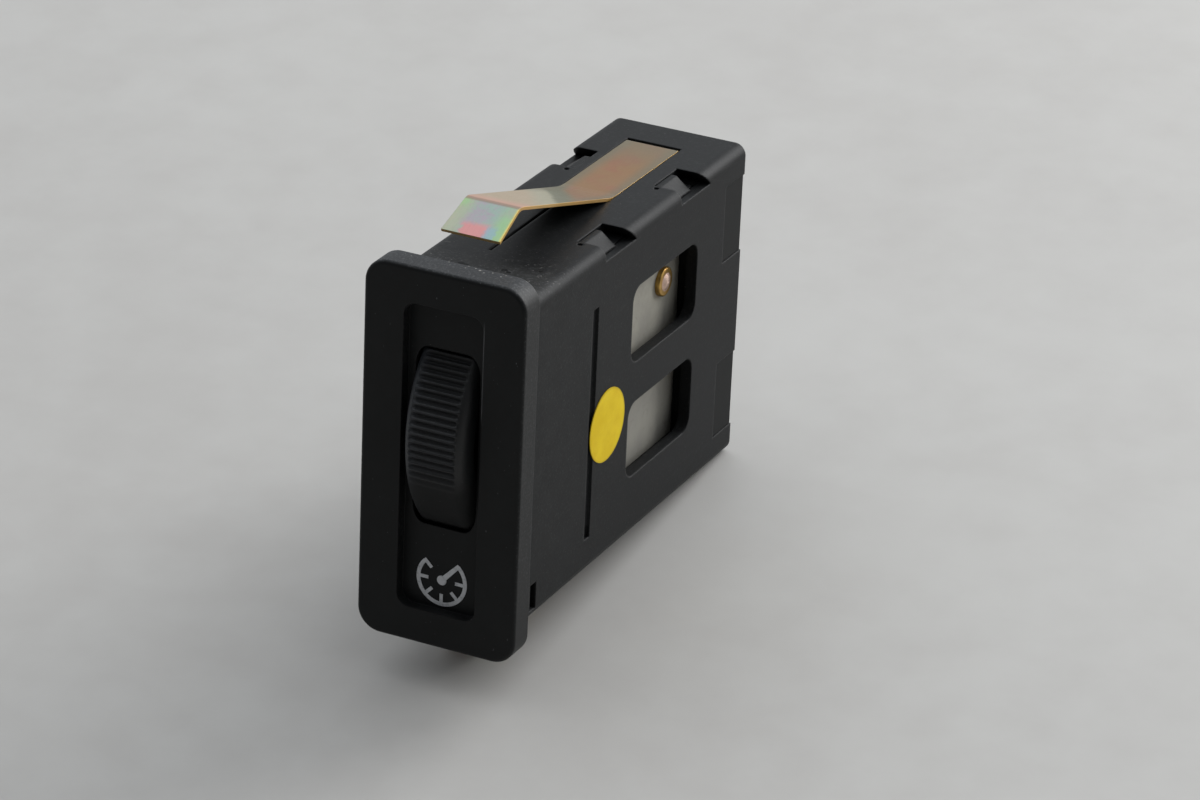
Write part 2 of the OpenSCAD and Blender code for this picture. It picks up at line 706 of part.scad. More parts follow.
// Rolled tubes that clamp the terminals to the plate.
module eyelets() {
  color("#c19a55") at_eyelets() difference() {
    union() {
      rod(foot_in, plate_out - foot_in, eyelet_barrel_d, 32);
      translate([plate_out, 0, 0]) rotate([0, 90, 0]) rotate_extrude($fn = 48) rolled_rim();
      rod(foot_in - eyelet_rim, eyelet_rim, eyelet_d);
    }
    rod(foot_in - 1, body_w, eyelet_bore_d, 32);
  }
}

// Solder that fills each eyelet's bore and domes over its rolled rim.
module solder_joints() {
  low = foot_in - eyelet_rim;
  l = plate_out + eyelet_lip - low;
  foot_r = eyelet_bore_d/2 - 0.1;
  dome_r = (foot_r*foot_r + solder_dome*solder_dome)/(2*solder_dome);
  color("#c9b6a8") at_eyelets() translate([low, 0, 0]) rotate([0, 90, 0]) rotate_extrude($fn = 48) {
    square([eyelet_bore_d/2, l]);
    translate([0, l]) intersection() {
      translate([0, solder_dome - dome_r]) circle(r = dome_r, $fn = 96);
      square(dome_r);
    }
  }
}

// Axle with a flat head in the carrier's wall and a groove for the clip.
module axle() {
  end_x = axle_clip_x + axle_clip_t + axle_end;
  color("#b4b6b8") at_wheel() difference() {
    union() {
      rod(-in_x, end_x + in_x, axle_d);
      rod(-in_x, axle_head_t, axle_head_d);
    }
    difference() {
      rod(axle_clip_x, axle_clip_t, axle_clip_d);
      rod(axle_clip_x - axle_clip_t, 3*axle_clip_t, axle_neck_d);
    }
  }
}

// Flanged bush between the wheel's hub and the plate, pressed into the plate.
module axle_bush() {
  color("#c2a05a") at_wheel() difference() {
    union() {
      rod(bush_x, plate_in - bush_x, hub_d - 1);
      rod(bush_x, plate_out - bush_x, axle_d + 2*bush_wall);
    }
    rod(0, body_w, axle_d);
  }
}

// Open clip in the axle's groove.
module axle_clip() {
  color("#9a9c9e") at_wheel() difference() {
    rod(axle_clip_x, axle_clip_t, axle_clip_d);
    rod(axle_clip_x - axle_clip_t, 3*axle_clip_t, axle_neck_d);
    translate([axle_clip_x - axle_clip_t, -axle_mouth/2, 0])
      cube([3*axle_clip_t, axle_mouth, axle_clip_d]);
  }
}

// Dished spring washer that keeps the wheel where it is put.
module friction_washer() {
  color("#a8aaad") at_wheel() translate([boss_x, 0, 0]) rotate([0, 90, 0]) rotate_extrude($fn = 64)
    polygon([[axle_d/2 + 0.15, washer_space - washer_t - 0.05], [hub_d/2 - 0.3, 0],
      [hub_d/2 - 0.3, washer_t], [axle_d/2 + 0.15, washer_space - 0.05]]);
}

// Wiper: a riveted base on the web and two arms that spring out to the tracks.
module wiper_spring() {
  color("#c98f55") at_wheel() difference() {
    union() {
      across(web_x, wiper_t) difference() {
        square([hub_d + 3, 2*rivet_r + 2.6], center = true);
        circle(d = hub_d + 0.2, $fn = 48);
      }
      wiper_arm(collector_r, -arm_z);
      wiper_arm(track_r, arm_z);
    }
    for (s = [-1, 1]) translate([0, 0, s*rivet_r]) rod(0, wheel_w, rivet_d, 32);
  }
}

// One wiper arm in the X-Y plane, rising from the web to its contact's back.
module wiper_arm(r, z) {
  base = hub_d/2 + 0.2;
  up = contact_x - contact_h - wiper_t;
  end = sqrt(r*r - z*z);
  pad = contact_d/2 + 0.1;
  upright(z - wiper_w/2, wiper_w) polygon([[web_x, base], [web_x, base + 1.1], [up, end - pad],
    [up, end + pad], [up + wiper_t, end + pad], [up + wiper_t, end - pad - 0.1],
    [web_x + wiper_t, base + 0.9], [web_x + wiper_t, base]]);
}

// Contact buttons on the wiper arms.
module wiper_contacts() {
  color("#d8c08a") at_wheel() for (p = [[collector_r, -arm_z], [track_r, arm_z]])
    translate([0, sqrt(p[0]*p[0] - arm_z*arm_z), p[1]])
      rod(contact_x - contact_h, contact_h, contact_d, 24);
}

// Rivets that hold the wiper to the wheel's web.
module wiper_rivets() {
  color("#b98a50") at_wheel() for (s = [-1, 1]) translate([0, 0, s*rivet_r]) {
    rod(-web_x, web_t + wiper_t, rivet_d, 32);
    rod(-web_x - 0.4, 0.4, rivet_d + 1, 32);
    rod(web_x + wiper_t, 0.4, rivet_d + 1, 32);
  }
}

// Blade in the socket at height z, through the cover's floor.
module blade(z) {
  difference() {
    translate([-blade_t/2, cover_front - 0.1, z - blade_w/2])
      cube([blade_t, blade_tip - cover_front + 0.1, blade_w]);
    for (s = [-1, 1]) translate([s*blade_t/2, blade_tip, z]) rotate([0, 0, s*20])
      cube([0.5, 2.4, blade_w + 1], center = true);
  }
}

// Foot that runs from the blade across to the plate's inner face at height z.
module foot(z) {
  slant = 80;
  bend = blade_t;
  across_l = (foot_in + blade_t/2 - 2*bend*(1 - cos(slant)))/sin(slant);
  moves = [[0.2, bend, slant], [across_l, bend, -slant]];
  start = [0, cover_front, -90];
  ahead = stations(moves, start);
  flat_l = ahead[len(ahead) - 1][1] - eyelet_y + foot_w/2;
  upright(z - foot_w/2, foot_w) strip(stations(concat(moves, [[flat_l, 0, 0]]), start), blade_t);
}

// Supply terminal: blade, foot and the hole for its eyelet.
module terminal_supply() {
  color("#b9b7ae") difference() {
    union() {
      blade(supply_z);
      foot(supply_z);
    }
    translate([0, eyelet_y, supply_z]) rod(0, body_w, eyelet_barrel_d, 32);
  }
}

// Output terminal: blade, foot and an arm down to the lamp holder's right contact.
module terminal_output() {
  color("#b9b7ae") difference() {
    union() {
      blade(output_z);
      foot(output_z);
      lamp_arm(output_z);
    }
    translate([0, eyelet_y, output_z]) rod(0, body_w, eyelet_barrel_d, 32);
  }
}

// Earth terminal: blade and an arm down to the lamp holder's left contact.
module terminal_earth() {
  color("#b9b7ae") {
    blade(socket_z);
    mirror([1, 0, 0]) lamp_arm(socket_z);
  }
}

// Flat arm on the cover's floor from a blade at height z down beside the lamp holder.
module lamp_arm(z) {
  translate([-blade_t/2, cover_front - blade_t, z - blade_w/2])
    cube([lamp_arm_x + lamp_arm_w + blade_t/2, blade_t, blade_w]);
  translate([lamp_arm_x, cover_front - blade_t, lamp_z - 0.9])
    cube([lamp_arm_w, blade_t, z + blade_w/2 - lamp_z + 0.9]);
}

// Twist-in lamp holder: body, flange, grip bar and two lugs ahead of the cover's floor.
module lamp_holder() {
  grip = 3.2;
  color("#e0ddd2") translate([0, 0, lamp_z]) difference() {
    union() {
      post(holder_front, cover_floor - holder_front, holder_d);
      post(cover_floor, 1.2, holder_flange_d);
      translate([-1, cover_floor + 1.2, -holder_d/2]) cube([2, grip, holder_d]);
    }
    translate([-lamp_d/2 + 0.1, holder_front - 1, -1.05]) cube([lamp_d - 0.2, 5.4, 2.1]);
    translate([-holder_d, cover_front - blade_t - contact_t, -0.9]) cube([2*holder_d, contact_t, 1.8]);
  }
}

// Two contact strips that press on the terminal arms beside the lamp holder.
module lamp_contacts() {
  color("#c9a565") both_sides() translate([lamp_d/2 - 0.1, cover_front - blade_t - contact_t, lamp_z - 0.9])
    cube([lamp_arm_x + lamp_arm_w - lamp_d/2, contact_t, 1.8]);
}

// Small wedge-base lamp with a domed glass.
module lamp() {
  r = lamp_d/2;
  color("#dfe3e2") translate([0, 0, lamp_z]) {
    translate([0, holder_front, 0]) rotate([90, 0, 0]) rotate_extrude($fn = 48) {
      square([r, lamp_l - r]);
      translate([0, lamp_l - r]) intersection() {
        circle(r = r, $fn = 48);
        square([r, r]);
      }
    }
    translate([-r + 0.2, holder_front - 0.1, -0.95]) cube([lamp_d - 0.4, 4.3, 1.9]);
  }
}

// Clear bar from the lamp to the back of the dial symbol.
module light_guide() {
  low = guide_low;
  bar = low + guide_t;
  color("#d7dedd") across(-guide_w/2, guide_w) polygon([[guide_front, low], [guide_rear, low],
    [guide_rear, lamp_z + lamp_d/2], [guide_rear - guide_step_l, lamp_z + lamp_d/2],
    [guide_rear - guide_step_l - guide_slope_l, bar], [guide_head_y + 1, bar], [guide_head_y, guide_head_top],
    [guide_front, guide_head_top]]);
}

// Round sticker on the right side of the sleeve.
module inspection_dot() {
  color("#c8b432") translate([0, dot_y, dot_z]) rod(side_x, dot_t, dot_d, 64);
}

bezel();
thumb_wheel();
housing();
carrier();
rear_cover();
leaf_spring_top();
leaf_spring_bottom();
resistor_plate();
resistor_track();
conductor_tracks();
eyelets();
solder_joints();
axle();
axle_bush();
axle_clip();
friction_washer();
wiper_spring();
wiper_rivets();
wiper_contacts();
terminal_supply();
terminal_output();
terminal_earth();
lamp_holder();
lamp();
lamp_contacts();
light_guide();
inspection_dot();
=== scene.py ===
import json
import math
import bpy
import numpy as np
from mathutils import Matrix, Vector


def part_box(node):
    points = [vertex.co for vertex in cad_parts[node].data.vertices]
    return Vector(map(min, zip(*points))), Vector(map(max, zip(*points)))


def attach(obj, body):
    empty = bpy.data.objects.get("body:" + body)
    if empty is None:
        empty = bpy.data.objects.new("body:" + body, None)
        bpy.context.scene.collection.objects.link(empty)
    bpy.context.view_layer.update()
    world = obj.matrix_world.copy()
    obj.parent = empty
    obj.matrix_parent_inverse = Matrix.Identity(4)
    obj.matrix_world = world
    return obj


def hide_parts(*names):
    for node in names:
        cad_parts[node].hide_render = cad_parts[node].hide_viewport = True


# Looks for the dashboard lighting dimmer. Sizes below are millimetres and turn to metres at the mesh.
# +X is right, +Y runs back into the panel, +Z is up, and y = 0 is the back of the face plate.
# Colours are screen colours in hex, which a paint calls by their names in its own dictionary.
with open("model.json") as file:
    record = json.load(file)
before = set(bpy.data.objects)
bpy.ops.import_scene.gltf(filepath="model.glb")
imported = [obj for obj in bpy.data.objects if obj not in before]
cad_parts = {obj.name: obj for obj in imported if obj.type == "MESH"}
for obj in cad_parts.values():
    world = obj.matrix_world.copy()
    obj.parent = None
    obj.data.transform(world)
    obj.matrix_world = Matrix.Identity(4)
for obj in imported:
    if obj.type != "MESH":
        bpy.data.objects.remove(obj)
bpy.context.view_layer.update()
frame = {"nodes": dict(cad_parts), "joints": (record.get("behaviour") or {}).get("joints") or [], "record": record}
mm = 0.001
nodes = frame["nodes"]
print("frame loaded:", len(nodes), "pieces")


# Shader maths: values add Math nodes, colours go through Mix nodes
class Value:
    def __init__(self, graph, socket):
        self.graph = graph
        self.socket = socket

    def __add__(self, other):
        return self.graph.maths("ADD", self, other)

    def __sub__(self, other):
        return self.graph.maths("SUBTRACT", self, other)

    def __rsub__(self, other):
        return self.graph.maths("SUBTRACT", other, self)

    def __mul__(self, other):
        return self.graph.maths("MULTIPLY", self, other)

    def __neg__(self):
        return self * -1.0

    def __abs__(self):
        return self.graph.maths("ABSOLUTE", self)

    __radd__ = __add__
    __rmul__ = __mul__

    def most(self, other):
        return self.graph.maths("MAXIMUM", self, other)

    def power(self, other):
        return self.graph.maths("POWER", self, other)

    def cosine(self):
        return self.graph.maths("COSINE", self)

    def angleTo(self, level):
        # degrees between the level direction and the point (level, this value)
        return self.graph.maths("ARCTAN2", self, level) * (180 / math.pi)

    def clamped(self):
        return self.graph.maths("ADD", self, 0.0, clamp=True)

    def ramp(self, low, high):
        # smooth 0 to 1 as the value goes from low to high
        settings = {"interpolation_type": "SMOOTHSTEP"}
        inputs = {"Value": self, "From Min": low, "From Max": high}
        return self.graph.add("ShaderNodeMapRange", settings, inputs).value()

    def band(self, low, high, soft):
        # 1 between low and high, falling off over soft on both sides
        return self.ramp(low - soft, low) * (1 - self.ramp(high, high + soft))


class Made:
    # a node just added, and ways to take its outputs
    def __init__(self, graph, node):
        self.graph = graph
        self.node = node

    def out(self, name=0):
        return self.node.outputs[name]

    def value(self, name=0):
        return Value(self.graph, self.out(name))


class Graph:
    # a node tree and one way to add any node to it
    def __init__(self, tree):
        self.tree = tree

    def add(self, kind, settings, inputs):
        node = self.tree.nodes.new(kind)
        for key, setting in settings.items():
            setattr(node, key, setting)
        for key, given in inputs.items():
            self.feed(node.inputs[key], given)
        return Made(self, node)

    def feed(self, socket, given):
        if isinstance(given, Value):
            given = given.socket
        if isinstance(given, bpy.types.NodeSocket):
            self.tree.links.new(given, socket)
        elif socket.type == "RGBA":
            socket.default_value = (*given, 1)
        else:
            socket.default_value = given

    def maths(self, operation, *values, clamp=False):
        settings = {"operation": operation, "use_clamp": clamp}
        return self.add("ShaderNodeMath", settings, dict(enumerate(values))).value()

    def mix(self, amount, under, over):
        # the colour under, covered with the colour over as far as amount says
        settings = {"data_type": "RGBA", "clamp_factor": True}
        return self.add("ShaderNodeMix", settings, {0: amount, 6: under, 7: over}).out(2)


def fromHex(text):
    # screen colour to the linear colour that a shader takes
    shares = [int(text[i:i + 2], 16) / 255 for i in (0, 2, 4)]
    return tuple(s / 12.92 if s <= 0.04045 else ((s + 0.055) / 1.055) ** 2.4 for s in shares)


# a paint's words for the shader's sockets
socketOf = {"color": "Base Color", "rough": "Roughness", "metal": "Metallic",
            "shine": "Specular IOR Level", "clear": "Transmission Weight", "bending": "IOR"}


class Paint(Graph):
    # one material: its dictionary, the Principled shader and the object's coordinates in millimetres
    def __init__(self, look):
        self.look = look
        self.material = bpy.data.materials.new(look["name"])
        self.material.use_nodes = True
        super().__init__(self.material.node_tree)
        self.tree.nodes.clear()
        output = self.tree.nodes.new("ShaderNodeOutputMaterial")
        self.shader = self.tree.nodes.new("ShaderNodeBsdfPrincipled")
        self.tree.links.new(self.shader.outputs[0], output.inputs["Surface"])
        for word, socketName in socketOf.items():
            if word in look:
                self.feed(self.shader.inputs[socketName], word)
        coords = self.add("ShaderNodeTexCoord", {}, {}).out("Object")
        scale = {0: coords, "Scale": 1 / mm}
        self.place = self.add("ShaderNodeVectorMath", {"operation": "SCALE"}, scale).out()
        self.x, self.y, self.z = self.parts(self.place)
        normal = self.add("ShaderNodeNewGeometry", {}, {}).out("Normal")
        self.facing = self.parts(normal)

    def feed(self, socket, given):
        # a word stands for what the paint's dictionary has under it: a colour or an amount
        if isinstance(given, str):
            found = self.look[given]
            given = fromHex(found) if isinstance(found, str) else found
        super().feed(socket, given)

    def parts(self, vector):
        split = self.add("ShaderNodeSeparateXYZ", {}, {0: vector})
        return [split.value(axis) for axis in range(3)]

    def stretched(self, x=1.0, y=1.0, z=1.0):
        # the place scaled along each axis: below 1 draws a pattern out along it, above 1 shortens it
        inputs = {0: self.place, 1: (x, y, z)}
        return self.add("ShaderNodeVectorMath", {"operation": "MULTIPLY"}, inputs).out()

    def noise(self, size, detail=3, rough=0.55, at=None, warp=0.0):
        # size is the grain's size in millimetres
        inputs = {"Vector": at or self.place, "Scale": 1 / size, "Detail": detail, "Roughness": rough,
                  "Distortion": warp}
        return self.add("ShaderNodeTexNoise", {}, inputs).value()

    def specks(self, spacing, radius, share, at=None):
        # round specks, one in each cell of a jittered grid, of which a share is kept
        inputs = {"Vector": at or self.place, "Scale": 1 / spacing, "Randomness": 1.0}
        cells = self.add("ShaderNodeTexVoronoi", {"feature": "F1"}, inputs)
        near = 1 - cells.value("Distance").ramp(0.6 * radius / spacing, radius / spacing)
        lot = self.add("ShaderNodeSeparateColor", {}, {0: cells.out("Color")}).value()
        return near * (1 - lot.ramp(share - 0.02, share + 0.02))

    def blots(self, marks, ragged):
        # single marks, each as x, y, z and radius: 1 near the middle, 0 past the radius, ragged between
        total = 0.0
        for x, y, z, radius in marks:
            inputs = {0: self.place, 1: (x, y, z)}
            away = self.add("ShaderNodeVectorMath", {"operation": "DISTANCE"}, inputs)
            total = 1 - (away.value("Value") + ragged * radius).ramp(0.6 * radius, radius) + total
        return total.clamped()

    def finished(self, height, **sockets):
        # feeds the shader and gives the material. A height of 1 stands "deep" out of the surface, and
        # "edge" is the radius that light finds on the solids' sharp edges
        for word, given in sockets.items():
            self.feed(self.shader.inputs[socketOf[word]], given)
        bump = {"Height": height, "Distance": self.look["deep"] * mm}
        if "edge" in self.look:
            radius = {"Radius": self.look["edge"] * mm}
            bump["Normal"] = self.add("ShaderNodeBevel", {"samples": 6}, radius).out()
        self.feed(self.shader.inputs["Normal"], self.add("ShaderNodeBump", {}, bump).out("Normal"))
        return self.material


# Thumb wheel: the frame's wheel with its ribs as they show, which fade out where it stays smooth.
# Angles are degrees about its axis from the front upwards, and radii are from its axis.
hinge = frame["joints"][0]
wheelLow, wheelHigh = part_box("thumb_wheel")
wheel = {
    "axisY": hinge["pos_m"][1] / mm, "axisZ": hinge["pos_m"][2] / mm,
    "radius": (wheelHigh[2] - wheelLow[2]) / 2 / mm,
    "half": wheelHigh[0] / mm + 0.22,  # half its width, a little more than the node's
    "shoulderWide": 1.8, "shoulderDeep": 2.8, "fullness": 2.6, "shoulderSteps": 16, "crownSteps": 5,
    "ribHalf": 3.1, "ribRunOut": 0.4, "ribDeep": 0.42, "ribPitch": 3.25, "valleyAt": 0.75,
    "ribFrom": -21.0, "ribFull": -7.0, "ribTo": 93.0, "stepsPerRib": 12, "plainStep": 2.5,
    "rimThick": 3.0, "webHalf": 1.0, "hub": 4.0, "hubHalf": wheelHigh[0] / mm, "bore": 1.55,
    "lugIn": 8.0, "lugOut": 11.0, "lugHalf": 3.5, "lugTurn": 7.0, "lugSteps": 7,
    "creaseOver": 50.0,  # edges that turn by more than this stay sharp
}

# Materials
facePlastic = {
    "name": "satin_black_plastic", "darker": "111212", "paler": "171818",
    "dust": "4b4d50", "powder": "77787a", "crumb": "b0aca4", "fleck": "8a8d8f",
    "rough": 0.44, "shine": 0.22, "deep": 0.012, "edge": 0.18,
    "topZ": (19.8, 20.2),  # above this the faces that look up are the plate's upper edge
    "rimZ": (-23.0, -10.0),  # the plate's sides get dustier from here to here
    "jointY": (-1.8, -0.2),  # the upper edge gets dustier towards its joint with the sleeve
    "glintX": 5.25, "glintY": (-3.7, -3.2), "glintZ": (8.0, 17.5),  # painted highlight along the recess's upper right edge, in the powder colour
    # single crumbs on the upper edge: x, y, z and radius
    "crumbs": [(2.9, -0.5, 24.0, 0.19), (3.6, -0.9, 24.0, 0.13), (2.2, -0.2, 24.0, 0.12),
               (4.5, -0.4, 24.0, 0.11), (1.1, -0.7, 24.0, 0.09), (5.8, -0.9, 24.0, 0.12)],
}


def makeFacePlastic():
    look = facePlastic
    paint = Paint(look)
    x, y, z = paint.x, paint.y, paint.z
    grain = paint.noise(0.16, 2)
    cloud = paint.noise(6.0, 4)
    handled = paint.noise(2.2, warp=0.6)
    # painted light: the dust flecks are made stronger towards the upper right, where light falls on them
    litUpperRight = (0.5 * x + 0.12 * z).ramp(-1.5, 4.5)
    fleck = paint.specks(1.5, 0.11, 0.45, at=paint.stretched(z=0.6))
    fleck = fleck * (0.12 + 0.88 * litUpperRight * handled)
    fine = paint.specks(0.6, 0.06, 0.14)
    front = (-paint.facing[1]).ramp(0.6, 0.9)
    top = paint.facing[2].ramp(0.55, 0.95) * z.ramp(*look["topZ"])
    rim = (1 - front) * (1 - top) * z.ramp(*look["rimZ"])
    joint = top * y.ramp(*look["jointY"])
    # painted highlight: a pale, patchy line along the recess's upper right edge
    edgeGlint = 1 - abs(x - look["glintX"]).ramp(0.04, 0.12)
    edgeGlint = edgeGlint * z.band(*look["glintZ"], 2.0) * y.band(*look["glintY"], 0.1)
    powder = paint.noise(0.32, 4, rough=0.7).ramp(0.46, 0.72)
    powder = powder * (top * (0.3 + 0.7 * handled) + 0.22 * rim)
    crumbs = paint.specks(0.5, 0.12, 0.5) * joint * handled.ramp(0.42, 0.6)
    crumbs = (crumbs + paint.blots(look["crumbs"], handled - 0.5)).clamped()
    film = (top * (0.1 + 0.34 * cloud) + 0.3 * joint * handled + 0.05 * handled).clamped()
    base = paint.mix(cloud.ramp(0.3, 0.7), "darker", "paler")
    base = paint.mix(film, base, "dust")
    base = paint.mix(powder * 0.55, base, "powder")
    base = paint.mix((fleck * 0.5 + fine * 0.25) * (0.35 + 0.65 * front), base, "fleck")
    base = paint.mix(edgeGlint * (0.15 + 0.5 * handled), base, "powder")
    base = paint.mix(crumbs * 0.6, base, "crumb")
    rough = look["rough"] + 0.12 * cloud + 0.2 * film
    return paint.finished(grain * 0.7 + fleck * 0.5 + crumbs, color=base, rough=rough)


wheelPlastic = {
    "name": "sheen_grey_plastic", "darker": "1b1c1e", "paler": "212224",
    "valley": "101112", "ridge": "2e3034", "dull": "121313", "smooth": "070808", "shoulderSheen": "33363c",
    "fleck": "7a7c7e", "rough": 0.38, "shine": 0.45, "deep": 0.006,
    "shadeZ": (7.0, 13.5), "shadeX": (2.4, 3.4),  # painted shade: darker upwards and towards its right side
    "ridgeLitX": (-1.0, 2.6),  # painted highlight: the ridges are made paler leftwards, where light from the left falls on them
}


def makeWheelPlastic():
    look = wheelPlastic
    paint = Paint(look)
    ahead, up = wheel["axisY"] - paint.y, paint.z - wheel["axisZ"]
    left = -paint.x
    angle = up.angleTo(ahead)
    rib = ((angle - wheel["valleyAt"]) * (2 * math.pi / wheel["ribPitch"])).cosine()  # 1 in a valley
    ribEnd = wheel["ribHalf"]
    between = 1 - abs(paint.x).ramp(ribEnd - 0.5, ribEnd + 0.1)
    ribbed = angle.ramp(wheel["ribFrom"], wheel["ribFull"]) * between
    # painted highlight: the left shoulder is made paler and bluish, as if lit from the left
    shoulderSheen = left.ramp(ribEnd - 1.3, ribEnd + 0.4)
    cloud = paint.noise(3.5, 4)
    worn = paint.noise(0.8)
    fine = paint.specks(0.6, 0.06, 0.2)
    # painted shade: the wheel is made darker upwards, where the slot shades it, and towards its right side, and
    # rougher upwards; the smooth part is made near black and rougher
    high = paint.z.ramp(*look["shadeZ"])
    smooth = 1 - angle.ramp(wheel["ribFrom"] - 1, wheel["ribFull"])
    valley = rib.ramp(0.2, 1.0) * ribbed
    ridge = (-rib).ramp(0.5, 1.0) * ribbed * worn.ramp(0.4, 0.65)
    base = paint.mix(cloud.ramp(0.3, 0.7), "darker", "paler")
    # painted shade, darker upwards and to the right
    base = paint.mix((high * 0.8).most(paint.x.ramp(*look["shadeX"]) * 0.7), base, "dull")
    base = paint.mix(smooth * 0.95, base, "smooth")
    base = paint.mix(valley * 0.8, base, "valley")
    # ridges paler in worn patches, with a painted highlight growing leftwards
    base = paint.mix(ridge * (0.4 + 0.6 * left.ramp(*look["ridgeLitX"])), base, "ridge")
    base = paint.mix(shoulderSheen * (0.45 + 0.4 * cloud) * (1 - 0.8 * smooth), base, "shoulderSheen")
    base = paint.mix(fine * 0.3, base, "fleck")
    rough = look["rough"] + 0.16 * cloud + 0.12 * valley + (0.12 * high).most(0.34 * smooth)
    return paint.finished(paint.noise(0.14, 2), color=base, rough=rough)


sleevePlastic = {
    "name": "matt_dark_grey_plastic", "darker": "141516", "paler": "191a1b",
    "streak": "212223", "dust": "5c5c5b", "powder": "6e6f70", "crumb": "8e8c88", "chip": "080808",
    "rough": 0.42, "shine": 0.1, "deep": 0.012, "edge": 0.35, "dustOnTop": 0.06,
    "frontY": (3.0, 17.0), "cornerY": (7.0, 10.5),  # the top's dust thins out towards the rear
    "rubbedY": (4.0, 34.0), "rubbedShadeZ": (-20.0, -9.0),  # the sides are rubbed in front; low down the rubbing is painted fainter, as painted shade
    "grooveY": (16.9, 18.3), "grooveX": (9.15, 9.27), "grooveZ": (14.5, 15.0),  # painted light: the groove's floor is made paler, lifting its shade
    # dark chips on the top: x, y, z and radius
    "chips": [(-3.2, 6.6, 21.0, 0.55), (-2.5, 6.5, 21.0, 0.4), (2.1, 7.4, 21.0, 0.5),
              (2.8, 7.1, 21.0, 0.35), (5.9, 9.2, 21.0, 0.3)],
}


def makeSleevePlastic():
    look = sleevePlastic
    paint = Paint(look)
    x, y, z = paint.x, paint.y, paint.z
    grain = paint.noise(0.2, 2)
    cloud = paint.noise(9.0, 4)
    streak = paint.noise(1.0, at=paint.stretched(2.0, 0.25, 1.2))
    patchy = paint.noise(2.6, 4, warp=0.8)
    top = paint.facing[2].ramp(0.5, 0.95)
    front = 1 - y.ramp(*look["frontY"])
    corner = 1 - y.ramp(*look["cornerY"])
    # lint: short pieces of the thin lines on which a slow noise passes its middle value
    line = 1 - abs(paint.noise(2.2, 2, warp=1.2) - 0.5).ramp(0.004, 0.012)
    lint = line * paint.noise(1.4, 2).ramp(0.54, 0.62) * top * front
    crumbs = paint.specks(0.7, 0.11, 0.4)
    chips = paint.blots(look["chips"], patchy - 0.5)
    sideSpecks = paint.specks(1.1, 0.10, 0.22)
    powder = paint.noise(0.4, 4, rough=0.7).ramp(0.5, 0.75)
    film = look["dustOnTop"] * cloud + 0.2 * front * patchy.ramp(0.5, 0.68)
    film = (top * film + 0.2 * corner * top).clamped()
    rubbed = paint.noise(2.4, 5, rough=0.6, warp=0.5).ramp(0.3, 0.7)
    # painted shade: the rubbed dust on the sides fades out towards the bottom
    sideFront = (1 - top) * (1 - y.ramp(*look["rubbedY"])) * (0.4 + 0.6 * z.ramp(*look["rubbedShadeZ"]))
    groove = (1 - abs(x).ramp(*look["grooveX"])) * (1 - abs(z).ramp(*look["grooveZ"]))
    groove = groove * y.band(*look["grooveY"], 0.1)
    topPowder = top * (0.06 + 0.3 * front * patchy + 0.3 * corner)
    base = paint.mix(cloud.ramp(0.3, 0.7), "darker", "paler")
    base = paint.mix(streak.ramp(0.5, 0.75) * 0.3, base, "streak")
    base = paint.mix(film, base, "dust")
    base = paint.mix(rubbed * sideFront * 0.1, base, "dust")
    base = paint.mix(powder * (topPowder + 0.05 + 0.04 * sideFront), base, "powder")
    base = paint.mix(crumbs * (0.06 + 0.5 * top * front) + sideSpecks * 0.18, base, "crumb")
    base = paint.mix(lint * 0.55, base, "crumb")
    # painted light: the groove's floor is made paler with the powder colour
    base = paint.mix(groove * 0.12, base, "powder")
    base = paint.mix(chips * 0.9 * top, base, "chip")
    rough = look["rough"] + 0.1 * cloud + 0.2 * film + 0.06 * rubbed * sideFront
    return paint.finished(grain + 0.7 * crumbs * top + 0.6 * lint - chips, color=base, rough=rough)


innerPlastic = {
    "name": "matt_inner_plastic", "darker": "0d0e0e", "paler": "141515",
    "rough": 0.5, "shine": 0.14, "deep": 0.01,
}


def makeInnerPlastic():
    paint = Paint(innerPlastic)
    cloud = paint.noise(4.0, 4)
    base = paint.mix(cloud.ramp(0.3, 0.7), "darker", "paler")
    return paint.finished(paint.noise(0.2, 2), color=base, rough=innerPlastic["rough"] + 0.14 * cloud)


# The springs' film colours. Pairs of places say where a colour comes in: X across the strip from its
# middle, Y along it from the face plate. The tip is the part in front of the crest.
springSheen = {
    "name": "yellow_passivated_zinc",
    "rough": 0.25, "metal": 0.92, "deep": 0.004, "edge": 0.07,
    "middle": -0.6, "slant": 1.6, "crestY": 9.8,
    "crest": "86786a", "crestBand": (9.35, 9.75),
    # the tip
    "cyan": "a6b9ae", "lilac": "b4abb2",
    "sage": "b9bea2", "sageX": (-3.0, -1.2),
    "green": "a6cc98", "greenX": (1.0, 2.7), "greenY": (6.5, 9.0),
    "cornerX": (-3.2, -2.2), "cornerY": (7.4, 8.8),
    "pink": "de9c9a", "pinkX": (-1.5, 1.2), "pinkY": (5.3, 6.3),
    "blue": "9cb8c6", "blueX": (1.5, 2.3), "blueY": (5.2, 6.2),
    "gold": "ecd67a", "goldX": (-4.5, 3.0), "sideX": (3.05, 3.45),
    # the ramp and the tail
    "rose": "c9a08c",
    "cream": "b8a58a", "creamY": (10.4, 14.0),
    "mist": "a8aa93", "mistY": (17.0, 22.0),
    "olive": "72725a", "oliveY": (23.5, 25.5),
    "tan": "94704c", "tanY": (27.8, 31.0),
    "blush": "98644c", "blushY": (28.0, 32.0),
    "pale": "766f59", "paleX": (1.6, 3.3), "paleY": (22.0, 30.0), "rearY": (43.0, 52.0),
    # everywhere
    "burr": "c89c50", "cut": "f0c888", "scuff": "8d8a80",
}


